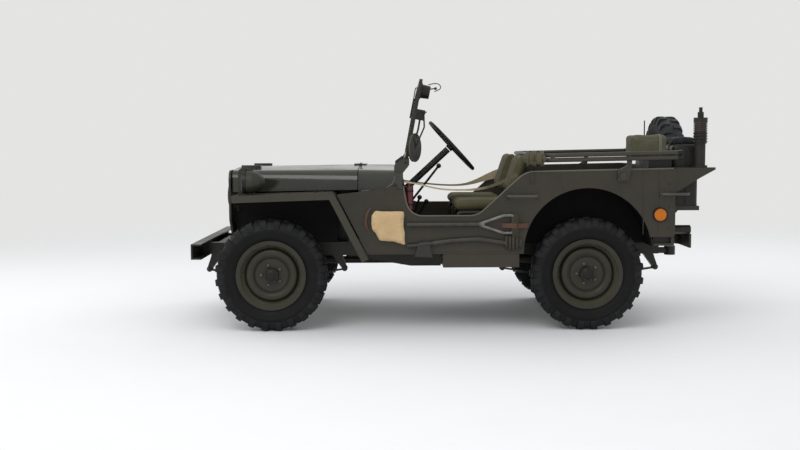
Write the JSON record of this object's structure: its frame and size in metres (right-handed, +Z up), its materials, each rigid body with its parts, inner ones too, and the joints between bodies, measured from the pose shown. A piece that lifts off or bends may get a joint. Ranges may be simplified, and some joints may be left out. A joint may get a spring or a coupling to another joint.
{
  "type": "army utility car",
  "caption": "Open four-wheel-drive army car with a flat-sided tub, slotted grille, folding windscreen, hinged hood, spare wheel and fuel can behind, and steered front wheels",
  "frame": {"origin": "on the ground under the middle of the overall length and width", "axes": "+X forward, +Y to the car's left, +Z up"},
  "size_m": [3.365, 1.575, 1.614],
  "materials": {
    "olive_paint": "matt",
    "chassis_black": "matt",
    "tyre_rubber": "matt",
    "seat_canvas": "woven",
    "tan_canvas": "woven",
    "webbing": "woven",
    "tool_wood": "oiled",
    "maroon_paint": "gloss",
    "amber_plastic": "gloss",
    "black_paint": "satin",
    "glass": "clear",
    "black_plastic": "gloss",
    "mast_rubber": "matt",
    "lamp_metal": "matt"
  },
  "bodies": {
    "chassis": {"body_side_left": "olive_paint", "body_side_right": "olive_paint", "bumperettes": "olive_paint", "cowl": "olive_paint", "cross_members": "chassis_black", "exhaust": "chassis_black", "extinguisher": "maroon_paint", "floor_pan": "olive_paint", "frame_rails": "chassis_black", "front_axle": "chassis_black", "front_bumper": "olive_paint", "front_lamps": "lamp_metal", "fuel_can": "olive_paint", "fuel_tank": "olive_paint", "gear_levers": "chassis_black", "grab_handles": "olive_paint", "grille": "olive_paint", "leaf_springs": "chassis_black", "mast_base": "mast_rubber", "mast_bracket": "olive_paint", "pioneer_tools": "tool_wood", "power_unit": "chassis_black", "prop_shafts": "chassis_black", "radiator": "chassis_black", "radio_cover": "seat_canvas", "radio_stand": "black_paint", "rear_axle": "chassis_black", "rear_panel": "olive_paint", "reflectors": "amber_plastic", "safety_straps": "webbing", "seat_cushions": "seat_canvas", "seat_frames": "olive_paint", "steering_column": "chassis_black", "tail_lamps": "black_paint", "tool_cover": "tan_canvas", "top_bows": "olive_paint", "tyre_spare": "tyre_rubber", "wheel_houses": "olive_paint", "wheel_spare": "olive_paint", "wing_left": "olive_paint", "wing_right": "olive_paint"},
    "hood": {"hood": "olive_paint"},
    "windscreen": {"windscreen_frame": "olive_paint", "windscreen_glass": "glass", "driving_mirror": "black_paint"},
    "steering_wheel": {"steering_wheel": "black_plastic"},
    "knuckle_left": {"knuckle_left": "chassis_black"},
    "knuckle_right": {"knuckle_right": "chassis_black"},
    "tie_rod": {"tie_rod": "chassis_black"},
    "wheel_front_left": {"tyre_front_left": "tyre_rubber", "wheel_front_left": "olive_paint"},
    "wheel_front_right": {"tyre_front_right": "tyre_rubber", "wheel_front_right": "olive_paint"},
    "wheel_rear_left": {"tyre_rear_left": "tyre_rubber", "wheel_rear_left": "olive_paint"},
    "wheel_rear_right": {"tyre_rear_right": "tyre_rubber", "wheel_rear_right": "olive_paint"}
  },
  "joints": [
    {"name": "hood_hinge", "type": "hinge", "parent": "chassis", "child": "hood", "pos_m": [0.6145, 0, 1.064], "axis": [0, -1, 0], "range_deg": [0, 118]},
    {"name": "windscreen_fold", "type": "hinge", "parent": "chassis", "child": "windscreen", "pos_m": [0.3038, 0, 1.082], "axis": [0, -1, 0], "range_deg": [-97, 0]},
    {"name": "steer_left", "type": "hinge", "parent": "chassis", "child": "knuckle_left", "pos_m": [1.1725, 0.505, 0.362], "axis": [0, 0, 1], "range_deg": [-26, 26]},
    {"name": "steer_right", "type": "hinge", "parent": "chassis", "child": "knuckle_right", "pos_m": [1.1725, -0.505, 0.362], "axis": [0, 0, 1], "range_deg": [-26, 26]},
    {"name": "tie_rod_slide", "type": "slide", "parent": "chassis", "child": "tie_rod", "axis": [0, 1, 0], "range_m": [-0.0681, 0.0681]},
    {"name": "steering_wheel_turn", "type": "hinge", "parent": "chassis", "child": "steering_wheel", "pos_m": [-0.004, 0.345, 1.186], "axis": [-0.7349, 0, 0.6782], "range_deg": [-364, 364]},
    {"name": "wheel_front_left_spin", "type": "hinge", "parent": "knuckle_left", "child": "wheel_front_left", "pos_m": [1.1725, 0.6225, 0.362], "axis": [0, 1, 0], "continuous": true},
    {"name": "wheel_front_right_spin", "type": "hinge", "parent": "knuckle_right", "child": "wheel_front_right", "pos_m": [1.1725, -0.6225, 0.362], "axis": [0, 1, 0], "continuous": true},
    {"name": "wheel_rear_left_spin", "type": "hinge", "parent": "chassis", "child": "wheel_rear_left", "pos_m": [-0.8595, 0.6225, 0.362], "axis": [0, 1, 0], "continuous": true},
    {"name": "wheel_rear_right_spin", "type": "hinge", "parent": "chassis", "child": "wheel_rear_right", "pos_m": [-0.8595, -0.6225, 0.362], "axis": [0, 1, 0], "continuous": true}
  ],
  "couplings": [
    {"joint": "steer_right", "follows": "steer_left", "ratio": 1},
    {"joint": "tie_rod_slide", "follows": "steer_left", "m_per_rad": 0.15},
    {"joint": "steering_wheel_turn", "follows": "steer_left", "ratio": 14}
  ]
}
